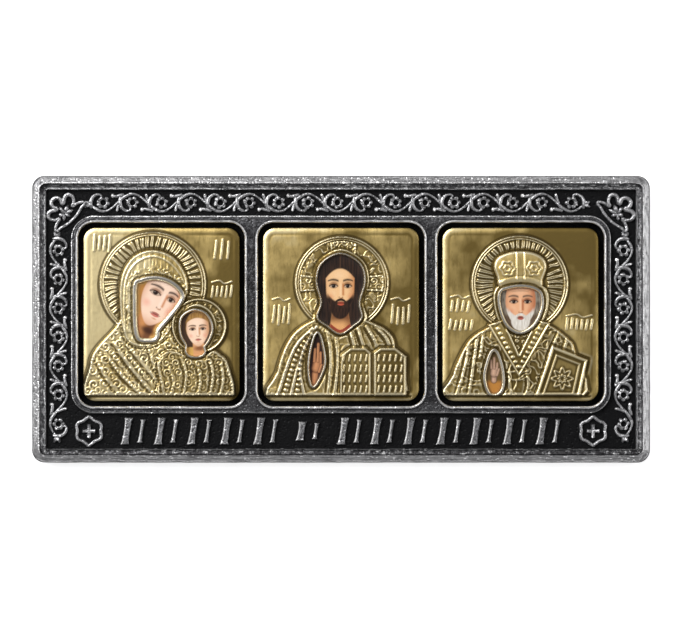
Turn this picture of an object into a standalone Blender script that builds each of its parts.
# Car icon triptych: a cast plaque whose three windows each hold an embossed icon plate.
# It lies on its flat back. X runs along the plaque, Y to its top edge and Z out of its face.
# The origin is the middle of the back. Lengths are in metres.

import math

import bmesh
import bpy

# Plan of the plaque, from which its length and height follow
WINDOW_COUNT = 3
WINDOW_WIDTH = 0.0226
WINDOW_HEIGHT = 0.0249
WINDOW_RADIUS = 0.0021
DIVIDER_WIDTH = 0.0018
SURROUND_WIDTH = 0.0010
SIDE_BORDER = 0.0034
TOP_BORDER = 0.0035
INSCRIPTION_BAND = 0.0048
RIM_WIDTH = 0.0019
CORNER_RADIUS = 0.0017

# Heights, from the back up
BACK_BEVEL = 0.0003
FIELD_LEVEL = 0.0024
BAND_RISE = 0.00065
CREST_RISE = 0.0012
LIP_RISE = 0.0011
ORNAMENT_RISE = 0.00055
POCKET_FLOOR = 0.0012

# Widths across the rim, the surround and the lip round each window
EDGE_SLOPE = 0.0007
EDGE_DROP = 0.0008
CREST_WIDTH = 0.00025
CREST_FALL = 0.0003
SURROUND_SLOPE = 0.0002
LIP_WIDTH = 0.0004
LIP_FOOT = 0.00008

# Icon plates
PLATE_CLEARANCE = 0.00065
GLUE_LINE = 0.0003
PLATE_THICKNESS = 0.0011
PLATE_EDGE = 0.0004
PLATE_RADIUS = 0.0017

# Heights of the embossing above the plate's face
HALO_RISE = 0.00012
RAY_RISE = 0.00014
HALO_RIM_RISE = 0.0003
BODY_RISE = 0.00036
CHILD_RISE = 0.00044
FOLD_RISE = 0.00056
HEAD_RISE = 0.00052
BOOK_RISE = 0.00056
MITRE_RISE = 0.0006
OPENING_RISE = 0.0002
OPENING_RIM_RISE = 0.00066
FACE_RISE = 0.00038
WORD_RISE = 0.0002
MARK_RISE = 0.0001

# Widths in the embossing
HALO_RIM_WIDTH = 0.0003
MASS_CHAMFER = 0.00014
FOLD_WIDTH = 0.0004
OPENING_RIM_WIDTH = 0.0002
FACE_SLOPE = 0.0005

# Vine, leaves, medallions and strokes on the sunk field
VINE_PITCH = 0.00398
VINE_MARGIN = 0.00055
VINE_END_GAP = 0.0014
VINE_SHIFT = 0.0005
STRAND_HALF_WIDTH = 0.0002
FLOWER_RADIUS = 0.00085
PETALS = 6
LEAF_ROOM = 0.0063
LEAF_REACH = 0.00235
MEDALLION_WIDTH = 0.0037
MEDALLION_HEIGHT = 0.004
STROKE_HEIGHT = 0.0036
SLOT_PITCH = 0.0045
SLOT_RUNS = (5, 1, 7)
RUN_GAP = 0.0012

# How far a raised shape reaches down into what it stands on
SINK = 0.0004
# How far a cutter reaches past the surface that it opens
CUT_PAST = 0.002

SURROUND_LENGTH = (
    WINDOW_COUNT * WINDOW_WIDTH + (WINDOW_COUNT - 1) * DIVIDER_WIDTH + 2 * SURROUND_WIDTH
)
SURROUND_HEIGHT = WINDOW_HEIGHT + 2 * SURROUND_WIDTH
FIELD_LENGTH = SURROUND_LENGTH + 2 * SIDE_BORDER
FIELD_HEIGHT = SURROUND_HEIGHT + TOP_BORDER + INSCRIPTION_BAND
PLAQUE_LENGTH = FIELD_LENGTH + 2 * RIM_WIDTH
PLAQUE_HEIGHT = FIELD_HEIGHT + 2 * RIM_WIDTH
WINDOW_Y = (INSCRIPTION_BAND - TOP_BORDER) / 2
WINDOW_PITCH = WINDOW_WIDTH + DIVIDER_WIDTH
CREST_LEVEL = FIELD_LEVEL + CREST_RISE
BAND_LEVEL = FIELD_LEVEL + BAND_RISE
LIP_LEVEL = FIELD_LEVEL + LIP_RISE
ORNAMENT_LEVEL = FIELD_LEVEL + ORNAMENT_RISE
ORNAMENT_BASE = FIELD_LEVEL - SINK
PLATE_WIDTH = WINDOW_WIDTH - 2 * PLATE_CLEARANCE
PLATE_HEIGHT = WINDOW_HEIGHT - 2 * PLATE_CLEARANCE
PLATE_BOTTOM = POCKET_FLOOR + GLUE_LINE
PLATE_FACE = PLATE_BOTTOM + PLATE_THICKNESS
EMBOSS_BASE = PLATE_FACE - SINK

SILVER = ("antique_silver", (0.62, 0.62, 0.63, 1.0), 0.35, 1.0)
GOLD = ("embossed_gold", (0.83, 0.68, 0.36, 1.0), 0.28, 1.0)


# Outlines in plan


def rounded_rectangle(width, height, radius, steps=4, centre=(0.0, 0.0)):
    points = []
    for corner in range(4):
        along = 1 if corner in (0, 3) else -1
        up = 1 if corner in (0, 1) else -1
        middle_x = centre[0] + along * (width / 2 - radius)
        middle_y = centre[1] + up * (height / 2 - radius)
        for step in range(steps + 1):
            angle = math.pi / 2 * (corner + step / steps)
            points.append((middle_x + radius * math.cos(angle), middle_y + radius * math.sin(angle)))
    return points


def circle(centre, radius, count):
    turns = [2 * math.pi * step / count for step in range(count)]
    return [(centre[0] + radius * math.cos(turn), centre[1] + radius * math.sin(turn)) for turn in turns]


def star(centre, radius, waist, points):
    """An outline whose reach goes from radius to a share of it, waist, and back at each point."""
    outline = []
    for i in range(2 * points):
        reach = radius if i % 2 == 0 else radius * waist
        turn = math.pi * i / points
        outline.append((centre[0] + reach * math.cos(turn), centre[1] + reach * math.sin(turn)))
    return outline


def smooth_point(four, share):
    """A point between the second and third of four points, on a smooth curve through them."""
    squared, cubed = share * share, share**3
    weights = (
        -share + 2 * squared - cubed,
        2 - 5 * squared + 3 * cubed,
        share + 4 * squared - 3 * cubed,
        cubed - squared,
    )
    x = sum(weight * point[0] for weight, point in zip(weights, four)) / 2
    y = sum(weight * point[1] for weight, point in zip(weights, four)) / 2
    return (x, y)


def smooth_path(points, steps=2):
    ends = [points[0], *points, points[-1]]
    curve = []
    for i in range(len(points) - 1):
        curve += [smooth_point(ends[i : i + 4], step / steps) for step in range(steps)]
    return [*curve, points[-1]]


def smooth_loop(points, steps=2):
    ends = [points[-1], *points, *points[:2]]
    curve = []
    for i in range(len(points)):
        curve += [smooth_point(ends[i : i + 4], step / steps) for step in range(steps)]
    return curve


def anticlockwise(outline):
    doubled_area = sum(a[0] * b[1] - b[0] * a[1] for a, b in zip(outline, [*outline[1:], outline[0]]))
    return outline if doubled_area > 0 else outline[::-1]


def inset(outline, distance):
    """An anticlockwise outline, moved inwards by a distance."""
    moved = []
    for i, (x, y) in enumerate(outline):
        back, ahead = outline[i - 1], outline[(i + 1) % len(outline)]
        along_x, along_y = ahead[0] - back[0], ahead[1] - back[1]
        size = math.hypot(along_x, along_y)
        moved.append((x - along_y / size * distance, y + along_x / size * distance))
    return moved


# Solids built up in one mesh


def add_stack(mesh, rings):
    """A closed solid through rings of as many points each. A ring is an outline and its heights."""
    rows = []
    for outline, height in rings:
        heights = height if isinstance(height, list) else [height] * len(outline)
        rows.append([mesh.verts.new((x, y, z)) for (x, y), z in zip(outline, heights)])
    for low, high in zip(rows, rows[1:]):
        for i in range(len(low)):
            j = (i + 1) % len(low)
            mesh.faces.new((low[i], low[j], high[j], high[i]))
    mesh.faces.new(rows[0][::-1])
    mesh.faces.new(rows[-1])


def add_prism(mesh, outline, low, high, chamfer=0.0):
    outline = anticlockwise(outline)
    rings = [(outline, low), (outline, high - chamfer)]
    if chamfer:
        rings.append((inset(outline, chamfer), high))
    add_stack(mesh, rings)


def add_band(mesh, loops):
    """A closed ring of material. Its section has a corner on each of the loops, at that loop's height."""
    rows = [[mesh.verts.new((x, y, height)) for x, y in outline] for outline, height in loops]
    for here, there in zip(rows, [*rows[1:], rows[0]]):
        for i in range(len(here)):
            j = (i + 1) % len(here)
            mesh.faces.new((here[i], here[j], there[j], there[i]))


def add_ridge(mesh, path, half_widths, heights, closed=False):
    """A strand of triangular section along a path. heights are its foot, the level at which it has
    its half widths, and its crest."""
    low, level, crest = heights
    spread = (crest - low) / (crest - level)
    count = len(path)
    rows = []
    for i, (x, y) in enumerate(path):
        back = path[i - 1] if closed or i else path[0]
        ahead = path[(i + 1) % count] if closed or i < count - 1 else path[-1]
        size = math.hypot(ahead[0] - back[0], ahead[1] - back[1])
        side_x = -(ahead[1] - back[1]) / size * half_widths[i] * spread
        side_y = (ahead[0] - back[0]) / size * half_widths[i] * spread
        section = ((x + side_x, y + side_y, low), (x - side_x, y - side_y, low), (x, y, crest))
        rows.append([mesh.verts.new(corner) for corner in section])
    pairs = zip(rows, [*rows[1:], rows[0]]) if closed else zip(rows, rows[1:])
    for here, there in pairs:
        for i in range(3):
            j = (i + 1) % 3
            mesh.faces.new((here[i], here[j], there[j], there[i]))
    if not closed:
        mesh.faces.new(rows[0][::-1])
        mesh.faces.new(rows[-1])


def finished(name, mesh, material=None):
    """Makes an object of the mesh, with each of its solids facing out."""
    bmesh.ops.recalc_face_normals(mesh, faces=mesh.faces)
    data = bpy.data.meshes.new(name)
    mesh.to_mesh(data)
    mesh.free()
    thing = bpy.data.objects.new(name, data)
    bpy.context.scene.collection.objects.link(thing)
    if material:
        data.materials.append(material)
    return thing


def helper(name, mesh):
    thing = finished(name, mesh)
    thing.hide_render = True
    thing.display_type = "WIRE"
    return thing


def combine(body, other, operation):
    change = body.modifiers.new(other.name, "BOOLEAN")
    change.operation = operation
    change.object = other
    change.solver = "EXACT"
    change.use_self = True


def make_material(name, colour, roughness, metallic):
    material = bpy.data.materials.new(name)
    material.use_nodes = True
    shader = material.node_tree.nodes["Principled BSDF"]
    shader.inputs["Base Color"].default_value = colour
    shader.inputs["Roughness"].default_value = roughness
    shader.inputs["Metallic"].default_value = metallic
    return material


# Ornament on the sunk field


def add_strand(mesh, path, widths=None, drop=0.0, closed=False):
    """A strand of the ornament. widths are shares of its usual width, and drop lowers its crest."""
    half_widths = [STRAND_HALF_WIDTH * share for share in widths or [1.0] * len(path)]
    add_ridge(mesh, path, half_widths, (ORNAMENT_BASE, FIELD_LEVEL, ORNAMENT_LEVEL - drop), closed)


def add_flower(mesh, centre):
    """Six petals, each with a ridge that rises to its crown, round a sunk eye."""
    foot = [mesh.verts.new((x, y, ORNAMENT_BASE)) for x, y in star(centre, FLOWER_RADIUS, 0.76, PETALS)]
    crown = [
        mesh.verts.new((x, y, ORNAMENT_LEVEL)) for x, y in circle(centre, FLOWER_RADIUS * 0.62, PETALS)
    ]
    eye = mesh.verts.new((*centre, FIELD_LEVEL + ORNAMENT_RISE * 0.1))
    for i in range(PETALS):
        tip, notch, next_tip = foot[2 * i], foot[2 * i + 1], foot[(2 * i + 2) % len(foot)]
        here, there = crown[i], crown[(i + 1) % PETALS]
        for corners in ((tip, notch, here), (notch, there, here), (notch, next_tip, there)):
            mesh.faces.new(corners)
        mesh.faces.new((here, there, eye))
    mesh.faces.new(foot[::-1])


# The hook over a flower: angles about its middle, and reaches in shares of the vine's half height
HOOK = ((190, 1.42), (155, 1.36), (112, 1.16), (68, 0.92))
# Where the stem crosses over, a bud points back. Its points are shares of the pitch and of the half
# height, and each comes with the strand's share of its width there.
BUD = ((0.19, 0.88, 0.5), (-0.18, 0.92, 1.1))
# The stem's steps from one flower to the next, and its run past the first and last one
STEM_STEPS = 4
STEM_OVERRUN = 0.45
# Crests of strands that cross lie a hair apart
CREST_STEP = 0.00002


def add_vine(mesh, first, along, across, count, pitch, half_height):
    """A stem that waves past its flowers, with a hook over each and a bud between them.
    The first flower has the stem on the side that across points away from."""
    def place(run, offset):
        return (
            first[0] + along[0] * run + across[0] * offset,
            first[1] + along[1] * run + across[1] * offset,
        )

    steps = STEM_STEPS * count
    turns = [-STEM_OVERRUN + (count - 1 + 2 * STEM_OVERRUN) * i / steps for i in range(steps + 1)]
    add_strand(mesh, [place(turn * pitch, -half_height * math.cos(math.pi * turn)) for turn in turns])

    for i in range(count):
        side = 1 if i % 2 == 0 else -1
        last = i == count - 1
        add_flower(mesh, place(i * pitch, 0))
        # The last hook closes the vine, so it turns the other way
        turn = -1 if last else 1
        hook = []
        for degrees, reach in HOOK:
            angle = math.radians(degrees)
            run = i * pitch + turn * half_height * reach * math.cos(angle)
            hook.append(place(run, side * half_height * reach * math.sin(angle)))
        add_strand(mesh, hook, drop=CREST_STEP)
        if last:
            continue
        bud = [place((i + 0.5 + s) * pitch, side * t * half_height) for s, t, _ in BUD]
        add_strand(mesh, bud, [share for _, _, share in BUD], 2 * CREST_STEP)


# One half of the corner leaf: the lobe that points to the corner, a side lobe, a wing and the foot.
# The shares are of the leaf's reach, outwards and to the side.
LEAF_HALF = ((1.05, 0.0), (0.95, 0.3), (0.62, 0.42), (0.38, 0.2), (0.6, 0.48), (0.72, 0.78), (0.5, 1.0),
             (0.2, 0.9), (-0.06, 0.58), (-0.28, 0.8), (-0.5, 1.25), (-0.66, 0.85), (-0.6, 0.0))
LEAF_STAR_DROP = 0.0001


def add_corner_leaf(mesh, centre, mirror):
    """A leaf of three lobes and two wings round a star. It points to the plaque's corner."""
    slant = math.sqrt(0.5) * LEAF_REACH
    whole = [*LEAF_HALF, *((u, -v) for u, v in reversed(LEAF_HALF[1:-1]))]
    loop = [(centre[0] + mirror * (u + v) * slant, centre[1] + (u - v) * slant) for u, v in whole]
    add_strand(mesh, loop, closed=True)
    rays = star(centre, LEAF_REACH * 0.42, 0.35, 5)
    add_prism(mesh, rays, ORNAMENT_BASE, ORNAMENT_LEVEL - LEAF_STAR_DROP)


# A quarter of the medallion's outline, and its cross, in shares of its half width and half height
MEDALLION_QUARTER = ((0.0, 0.96), (0.45, 0.66), (0.88, 0.48), (0.86, 0.0))
CROSS_ARM = 0.48
CROSS_BAR = 0.12


def add_medallion(mesh, centre):
    """A six-lobed cartouche round a plain cross."""
    def places(points):
        half_width, half_height = MEDALLION_WIDTH / 2, MEDALLION_HEIGHT / 2
        return [(centre[0] + u * half_width, centre[1] + v * half_height) for u, v in points]

    right = [*MEDALLION_QUARTER, *((u, -v) for u, v in reversed(MEDALLION_QUARTER[:3]))]
    outline = [*right, *((-u, v) for u, v in reversed(right[1:-1]))]
    add_strand(mesh, places(outline), closed=True)
    cross = []
    for turn in range(4):
        for u, v in ((CROSS_BAR, CROSS_BAR), (CROSS_BAR, CROSS_ARM), (-CROSS_BAR, CROSS_ARM)):
            for _ in range(turn):
                u, v = -v, u
            cross.append((u, v))
    add_prism(mesh, places(cross), ORNAMENT_BASE, ORNAMENT_LEVEL)


# A slot's broad and slim strokes: their places and widths in shares of the slot's pitch, and their
# shares of the stroke height
BROAD_STROKE = (-0.2, 0.19, 1.0)
SLIM_STROKE = (0.24, 0.1, 0.86)
STROKE_LEAN = 0.16
STROKE_CHISEL = 0.12
STROKE_CHAMFER = 0.00006
SHORT_RUN_SHARE = 0.7


def add_inscription(mesh, middle_y):
    """Plain slanted strokes, a broad one and a slim one in each letter's place. They aren't letters."""
    length = sum(SLOT_RUNS) * SLOT_PITCH + (len(SLOT_RUNS) - 1) * RUN_GAP
    start = -length / 2
    for run in SLOT_RUNS:
        height = STROKE_HEIGHT if run > 1 else STROKE_HEIGHT * SHORT_RUN_SHARE
        for slot in range(run):
            offset, width, share = BROAD_STROKE
            x, half_width = start + (slot + 0.5 + offset) * SLOT_PITCH, width * SLOT_PITCH / 2
            half_height = share * height / 2
            lean, cut = half_height * STROKE_LEAN, half_height * (1 - STROKE_CHISEL)
            corners = [
                (x - half_width - lean, middle_y - half_height),
                (x + half_width - lean, middle_y - cut),
                (x + half_width + lean, middle_y + half_height),
                (x - half_width + lean, middle_y + cut),
            ]
            add_prism(mesh, corners, ORNAMENT_BASE, ORNAMENT_LEVEL - CREST_STEP, STROKE_CHAMFER)
            offset, width, share = SLIM_STROKE
            x = start + (slot + 0.5 + offset) * SLOT_PITCH
            half_height = share * height / 2
            lean = half_height * STROKE_LEAN
            ends = [(x - lean, middle_y - half_height), (x + lean, middle_y + half_height)]
            add_strand(mesh, ends, [width * SLOT_PITCH / 2 / STRAND_HALF_WIDTH] * 2)
        start += run * SLOT_PITCH + RUN_GAP


def add_ornament(mesh):
    field_top = FIELD_HEIGHT / 2

    top_room = FIELD_LENGTH - 2 * LEAF_ROOM
    top_count = max(1, round(top_room / VINE_PITCH))
    top_pitch = top_room / top_count
    # The upper vine sits a little to the left
    first = (-(top_count - 1) * top_pitch / 2 - VINE_SHIFT, field_top - TOP_BORDER / 2)
    add_vine(mesh, first, (1, 0), (0, 1), top_count, top_pitch, TOP_BORDER / 2 - VINE_MARGIN)

    side_room = FIELD_HEIGHT - LEAF_ROOM - VINE_END_GAP
    side_count = max(1, round(side_room / VINE_PITCH))
    side_pitch = side_room / side_count
    band_middle = INSCRIPTION_BAND / 2 - field_top
    for mirror in (-1, 1):
        first = (mirror * (FIELD_LENGTH - SIDE_BORDER) / 2, field_top - LEAF_ROOM - side_pitch / 2)
        half_height = SIDE_BORDER / 2 - VINE_MARGIN
        add_vine(mesh, first, (0, -1), (-mirror, 0), side_count, side_pitch, half_height)
        leaf = (mirror * (FIELD_LENGTH / 2 - LEAF_ROOM * 0.42), field_top - LEAF_ROOM * 0.46)
        add_corner_leaf(mesh, leaf, mirror)
        add_medallion(mesh, (mirror * (SURROUND_LENGTH / 2 - MEDALLION_WIDTH * 0.66), band_middle))
    add_inscription(mesh, band_middle)


# The frame


def window_centres():
    middle = (WINDOW_COUNT - 1) / 2
    return [((i - middle) * WINDOW_PITCH, WINDOW_Y) for i in range(WINDOW_COUNT)]


def window_outline(centre, reach=0.0):
    """A window's outline, widened by a reach."""
    width, height = WINDOW_WIDTH + 2 * reach, WINDOW_HEIGHT + 2 * reach
    return rounded_rectangle(width, height, WINDOW_RADIUS + reach, 4, centre)


def plaque_outline(reach):
    """The plaque's outline, moved inwards by a reach. Its corners stay rounder than a true offset."""
    radius = max(CORNER_RADIUS - 0.7 * reach, CORNER_RADIUS / 4)
    return rounded_rectangle(PLAQUE_LENGTH - 2 * reach, PLAQUE_HEIGHT - 2 * reach, radius)


def surround_outline(reach):
    """The outline of the windows' surround, moved inwards by a reach."""
    radius = WINDOW_RADIUS + SURROUND_WIDTH - reach
    return rounded_rectangle(
        SURROUND_LENGTH - 2 * reach, SURROUND_HEIGHT - 2 * reach, radius, 4, (0.0, WINDOW_Y)
    )


def make_frame(material):
    # The block with its rim: a sloped edge, a narrow crest and the flat band inside it
    crest_end = EDGE_SLOPE + CREST_WIDTH
    body = bmesh.new()
    add_stack(body, [
        (plaque_outline(BACK_BEVEL), 0.0),
        (plaque_outline(0.0), BACK_BEVEL),
        (plaque_outline(0.0), CREST_LEVEL - EDGE_DROP),
        (plaque_outline(EDGE_SLOPE), CREST_LEVEL),
        (plaque_outline(crest_end), CREST_LEVEL),
        (plaque_outline(crest_end + CREST_FALL), BAND_LEVEL),
    ])
    frame = finished("frame", body, material)

    # The field is sunk round the surround of the windows, whose sides slope
    surround = bmesh.new()
    foot, top = surround_outline(0.0), surround_outline(SURROUND_SLOPE)
    above = CREST_LEVEL + 2 * CUT_PAST
    add_stack(surround, [(foot, FIELD_LEVEL - SINK), (foot, FIELD_LEVEL), (top, BAND_LEVEL), (top, above)])
    field = bmesh.new()
    sharp_corners = rounded_rectangle(FIELD_LENGTH, FIELD_HEIGHT, CORNER_RADIUS / 8, 1)
    add_prism(field, sharp_corners, FIELD_LEVEL, CREST_LEVEL + CUT_PAST)
    field = helper("field_cutter", field)
    combine(field, helper("surround_block", surround), "DIFFERENCE")
    combine(frame, field, "DIFFERENCE")

    # A raised lip stands round each window, and the pocket goes down through it
    lips, pockets = bmesh.new(), bmesh.new()
    for centre in window_centres():
        foot, top = window_outline(centre, LIP_WIDTH), window_outline(centre, LIP_WIDTH * 0.6)
        add_stack(lips, [(foot, BAND_LEVEL - SINK), (foot, BAND_LEVEL + LIP_FOOT), (top, LIP_LEVEL)])
        add_prism(pockets, window_outline(centre), POCKET_FLOOR, CREST_LEVEL + CUT_PAST)
    combine(frame, helper("window_lips", lips), "UNION")
    combine(frame, helper("pocket_cutter", pockets), "DIFFERENCE")

    ornament = bmesh.new()
    add_ornament(ornament)
    combine(frame, helper("ornament", ornament), "UNION")
    return frame


# The icon plates. Their figures are drawn in shares of the plate's half width and half height.


class Plate:
    """A plate's raised shapes, the openings sunk in them, and the details that come after."""

    def __init__(self, centre):
        self.centre = centre
        self.raised = bmesh.new()
        self.openings = bmesh.new()
        self.details = bmesh.new()

    def places(self, points):
        x, y = self.centre
        return [(x + u * PLATE_WIDTH / 2, y + v * PLATE_HEIGHT / 2) for u, v in points]

    def add_halo(self, middle, reach, sides, ray_rise=RAY_RISE):
        """A ringed disc, whose rays fade towards its middle. reach is a share of the half width."""
        centre, radius = self.places([middle])[0], reach * PLATE_WIDTH / 2
        low = PLATE_FACE + HALO_RISE
        waves = [low + ray_rise * (i % 2) for i in range(sides)]
        add_stack(self.raised, [
            (circle(centre, radius, sides), EMBOSS_BASE),
            (circle(centre, radius - HALO_RIM_WIDTH / 3, sides), PLATE_FACE + HALO_RIM_RISE),
            (circle(centre, radius - HALO_RIM_WIDTH, sides), waves),
            (circle(centre, radius / 2, sides), low),
        ])

    def add_mass(self, points, rise, chamfer=MASS_CHAMFER):
        """A raised shape with a smooth outline."""
        add_prism(self.raised, smooth_loop(self.places(points)), EMBOSS_BASE, PLATE_FACE + rise, chamfer)

    def add_figure(self, points, rise):
        """A raised body with a smooth outline, cut off straight from its last point to its first."""
        outline = smooth_path(self.places(points))
        add_prism(self.raised, outline, EMBOSS_BASE, PLATE_FACE + rise, MASS_CHAMFER)

    def add_board(self, points, rise):
        """A raised shape with straight sides."""
        add_prism(self.raised, self.places(points), EMBOSS_BASE, PLATE_FACE + rise, MASS_CHAMFER)

    def add_fold(self, points, rise=FOLD_RISE):
        """A ridge that is widest in its middle."""
        path = self.places(points)
        shares = [0.35 + 0.65 * math.sin(math.pi * (i + 0.5) / len(path)) for i in range(len(path))]
        heights = (EMBOSS_BASE, PLATE_FACE + HALO_RISE, PLATE_FACE + rise)
        add_ridge(self.details, path, [FOLD_WIDTH * share for share in shares], heights)

    def add_opening(self, points):
        """A sunk window with a raised rim, through which the painted part shows."""
        outline = anticlockwise(smooth_loop(self.places(points)))
        floor = PLATE_FACE + OPENING_RISE
        add_prism(self.openings, outline, floor, PLATE_FACE + CUT_PAST)
        add_band(self.details, [
            (inset(outline, -OPENING_RIM_WIDTH), floor - SINK / 2),
            (inset(outline, -OPENING_RIM_WIDTH / 4), PLATE_FACE + OPENING_RIM_RISE),
            (inset(outline, OPENING_RIM_WIDTH / 2), floor - SINK / 2),
        ])

    def add_face(self, middle, half_size, tilt=0.0):
        """A low oval cushion in an opening, turned by degrees."""
        centre = self.places([middle])[0]
        angle = math.radians(tilt)
        floor = PLATE_FACE + OPENING_RISE
        rings = []
        for margin, height in ((0.0, floor - SINK / 2), (0.0, floor), (FACE_SLOPE, PLATE_FACE + FACE_RISE)):
            wide = half_size[0] * PLATE_WIDTH / 2 - margin
            tall = half_size[1] * PLATE_HEIGHT / 2 - margin
            oval = []
            for x, y in circle((0.0, 0.0), 1.0, 12):
                across = wide * x * math.cos(angle) - tall * y * math.sin(angle)
                up = wide * x * math.sin(angle) + tall * y * math.cos(angle)
                oval.append((centre[0] + across, centre[1] + up))
            rings.append((oval, height))
        add_stack(self.details, rings)

    def add_words(self, middle, width, height, columns):
        """Plain upright bars in a word's place, every other one shorter."""
        pitch = width / columns
        for i in range(columns):
            u = middle[0] + (i + 0.5) * pitch - width / 2
            top = 0.3 if i % 2 else 0.5
            corners = ((-0.28, -0.5), (0.28, -0.5), (0.28, top), (-0.28, top))
            bar = [(u + s * pitch, middle[1] + t * height) for s, t in corners]
            add_prism(self.raised, self.places(bar), EMBOSS_BASE, PLATE_FACE + WORD_RISE)

    def make(self, name, material):
        def outline(reach):
            width, height = PLATE_WIDTH - 2 * reach, PLATE_HEIGHT - 2 * reach
            radius = max(PLATE_RADIUS - reach, PLATE_RADIUS / 4)
            return rounded_rectangle(width, height, radius, 4, self.centre)

        slab = bmesh.new()
        add_stack(slab, [
            (outline(0.0), PLATE_BOTTOM),
            (outline(0.0), PLATE_FACE - PLATE_EDGE),
            (outline(PLATE_EDGE * 0.3), PLATE_FACE - PLATE_EDGE * 0.3),
            (outline(PLATE_EDGE), PLATE_FACE),
        ])
        plate = finished(name, slab, material)
        combine(plate, helper(name + "_raised", self.raised), "UNION")
        combine(plate, helper(name + "_openings", self.openings), "DIFFERENCE")
        combine(plate, helper(name + "_details", self.details), "UNION")
        return plate


def make_mother(centre, material):
    """A veiled woman whose head leans to the child on her arm."""
    plate = Plate(centre)
    plate.add_halo((-0.11, 0.34), 0.68, 36)
    plate.add_figure([(-0.91, -0.93), (-0.92, -0.6), (-0.84, -0.37), (-0.6, -0.15), (-0.44, 0.03),
                      (0.22, 0.02), (0.3, -0.93)], BODY_RISE)
    plate.add_mass([(-0.5, -0.18), (-0.55, 0.17), (-0.5, 0.45), (-0.35, 0.65), (-0.09, 0.74),
                    (0.15, 0.66), (0.31, 0.45), (0.33, 0.22), (0.2, -0.06), (0.02, -0.3),
                    (-0.2, -0.38), (-0.4, -0.34)], HEAD_RISE)
    plate.add_halo((0.48, -0.13), 0.35, 16)
    plate.add_mass([(0.45, 0.11), (0.62, 0.02), (0.68, -0.16), (0.6, -0.36), (0.46, -0.42),
                    (0.31, -0.36), (0.22, -0.17), (0.28, 0.02)], CHILD_RISE, 0.0)
    plate.add_figure([(0.0, -0.93), (-0.05, -0.7), (0.1, -0.43), (0.46, -0.49), (0.74, -0.46),
                      (0.87, -0.65), (0.88, -0.93)], CHILD_RISE)
    plate.add_opening([(-0.35, 0.35), (-0.37, 0.12), (-0.33, -0.16), (-0.2, -0.32), (-0.04, -0.22),
                       (0.24, 0.06), (0.27, 0.22), (0.08, 0.4), (-0.15, 0.43)])
    plate.add_face((-0.08, 0.08), (0.24, 0.33), -25)
    plate.add_opening([(0.44, 0.05), (0.6, -0.05), (0.58, -0.28), (0.5, -0.44), (0.38, -0.43),
                       (0.28, -0.25), (0.29, -0.05)])
    plate.add_face((0.44, -0.17), (0.11, 0.15))
    # The mantle's folds run down from the shoulder, and the child's robe falls straight
    plate.add_fold([(-0.7, -0.5), (-0.56, -0.71), (-0.34, -0.9)])
    plate.add_fold([(-0.56, -0.36), (-0.42, -0.63), (-0.2, -0.88)])
    plate.add_fold([(-0.34, -0.42), (-0.24, -0.64), (-0.08, -0.86)])
    plate.add_fold([(-0.02, -0.36), (-0.08, -0.5), (-0.07, -0.7)])
    for u in (0.36, 0.5, 0.66):
        plate.add_fold([(u - 0.02, -0.56), (u + 0.02, -0.74), (u, -0.9)])
    plate.add_words((-0.76, 0.82), 0.26, 0.22, 3)
    plate.add_words((0.77, 0.78), 0.24, 0.22, 3)
    plate.add_words((0.74, 0.27), 0.3, 0.16, 4)
    return plate.make("mother_icon_plate", material)


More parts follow.
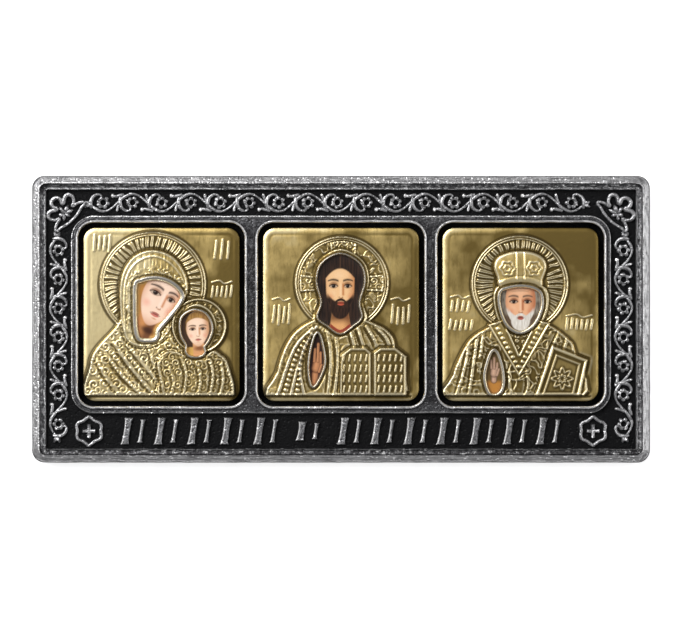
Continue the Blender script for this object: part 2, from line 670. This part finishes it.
def make_teacher(centre, material):
    """A bearded man who faces front and holds an open book."""
    plate = Plate(centre)
    plate.add_halo((0.01, 0.36), 0.6, 32, 0.0)
    # The halo's cross: its upper arm and its two side arms
    plate.add_board([(-0.12, 0.62), (0.18, 0.62), (0.2, 0.84), (-0.14, 0.84)], HALO_RIM_RISE)
    plate.add_board([(-0.52, 0.26), (-0.2, 0.28), (-0.2, 0.42), (-0.52, 0.46)], HALO_RIM_RISE)
    plate.add_board([(0.2, 0.28), (0.54, 0.26), (0.54, 0.46), (0.2, 0.42)], HALO_RIM_RISE)
    plate.add_figure([(-0.86, -0.93), (-0.82, -0.66), (-0.73, -0.4), (-0.6, -0.21), (-0.4, -0.09),
                      (0.38, -0.09), (0.59, -0.18), (0.7, -0.37), (0.74, -0.93)], BODY_RISE)
    plate.add_mass([(-0.36, 0.38), (-0.28, 0.62), (0.0, 0.76), (0.28, 0.62), (0.36, 0.38), (0.28, 0.14),
                    (0.34, -0.05), (0.0, -0.27), (-0.36, -0.05), (-0.28, 0.14)], HEAD_RISE, 0.0)
    # The two pages, each with a rounded top edge
    for inner, outer in ((0.39, 0.0), (0.41, 0.84)):
        span = outer - inner
        plate.add_board([(inner, -0.93), (outer, -0.93), (outer, -0.46), (outer - span * 0.3, -0.38),
                         (inner + span * 0.3, -0.38), (inner, -0.44)], BOOK_RISE)
    plate.add_opening([(-0.3, 0.38), (-0.22, 0.6), (0.0, 0.7), (0.22, 0.6), (0.29, 0.38), (0.21, 0.13),
                       (0.24, -0.04), (0.0, -0.21), (-0.26, -0.04), (-0.23, 0.13)])
    plate.add_face((-0.01, 0.3), (0.19, 0.31))
    plate.add_opening([(-0.3, -0.23), (-0.21, -0.45), (-0.23, -0.66), (-0.36, -0.82), (-0.41, -0.66),
                       (-0.38, -0.4)])
    # The mantle's bands on the left, the tunic's folds in the middle and those over the shoulder
    plate.add_fold([(-0.38, -0.19), (-0.6, -0.42), (-0.78, -0.9)])
    plate.add_fold([(-0.41, -0.28), (-0.53, -0.53), (-0.63, -0.9)])
    for u in (-0.15, -0.05):
        plate.add_fold([(u, -0.31), (u - 0.03, -0.9)])
    for u in (0.14, 0.28, 0.42):
        plate.add_fold([(u, -0.19), (u + 0.07, -0.36)])
    for u in (0.2, 0.62):
        for v in (-0.52, -0.63, -0.74, -0.85):
            plate.add_fold([(u - 0.13, v), (u + 0.13, v)], BOOK_RISE + MARK_RISE)
    plate.add_words((-0.76, 0.02), 0.28, 0.26, 3)
    plate.add_words((0.76, 0.02), 0.3, 0.26, 3)
    return plate.make("teacher_icon_plate", material)


def make_bishop(centre, material):
    """A white-bearded bishop in a mitre with a closed book."""
    plate = Plate(centre)
    plate.add_halo((-0.01, 0.35), 0.62, 36)
    plate.add_figure([(-0.91, -0.92), (-0.87, -0.7), (-0.78, -0.49), (-0.64, -0.28), (-0.41, -0.14),
                      (0.38, -0.12), (0.59, -0.26), (0.7, -0.42), (0.76, -0.92)], BODY_RISE)
    plate.add_mass([(-0.32, 0.3), (-0.33, 0.05), (-0.22, -0.16), (-0.01, -0.27), (0.22, -0.16),
                    (0.35, 0.05), (0.33, 0.3), (0.0, 0.44)], HEAD_RISE, 0.0)
    plate.add_mass([(-0.27, 0.31), (-0.34, 0.5), (-0.26, 0.68), (-0.01, 0.74), (0.26, 0.67),
                    (0.34, 0.5), (0.27, 0.31), (0.0, 0.37)], MITRE_RISE)
    # The book lies aslant, with a rosette on its cover
    plate.add_board([(0.42, -0.37), (0.9, -0.53), (0.8, -0.92), (0.24, -0.92)], BOOK_RISE)
    plate.add_board(star((0.57, -0.7), 0.13, 0.68, 8), BOOK_RISE + MARK_RISE)
    plate.add_opening([(-0.25, 0.26), (0.0, 0.33), (0.25, 0.26), (0.29, 0.08), (0.18, -0.1),
                       (-0.01, -0.2), (-0.18, -0.1), (-0.28, 0.08)])
    plate.add_face((0.0, 0.1), (0.2, 0.23))
    plate.add_opening([(-0.34, -0.43), (-0.24, -0.6), (-0.25, -0.82), (-0.36, -0.88), (-0.45, -0.76),
                       (-0.43, -0.56)])
    # The stole comes down from both shoulders in two lines to a point
    for reach, foot in ((0.44, -0.78), (0.26, -0.52)):
        for side in (-1, 1):
            bend = (side * reach * 0.55 - 0.01, (foot - 0.18) / 2 - 0.02)
            plate.add_fold([(side * reach - 0.01, -0.18), bend, (-0.01, foot)], FOLD_RISE + MARK_RISE)
    for u in (-0.72, -0.58):
        plate.add_fold([(u + 0.04, -0.48), (u - 0.02, -0.68), (u - 0.06, -0.89)])
    plate.add_words((-0.76, 0.1), 0.26, 0.18, 3)
    plate.add_words((-0.76, -0.12), 0.32, 0.14, 4)
    plate.add_words((0.76, -0.12), 0.32, 0.18, 4)
    return plate.make("bishop_icon_plate", material)


def main():
    for thing in list(bpy.data.objects):
        bpy.data.objects.remove(thing, do_unlink=True)
    make_frame(make_material(*SILVER))
    gold = make_material(*GOLD)
    for centre, make_plate in zip(window_centres(), (make_mother, make_teacher, make_bishop)):
        make_plate(centre, gold)


main()
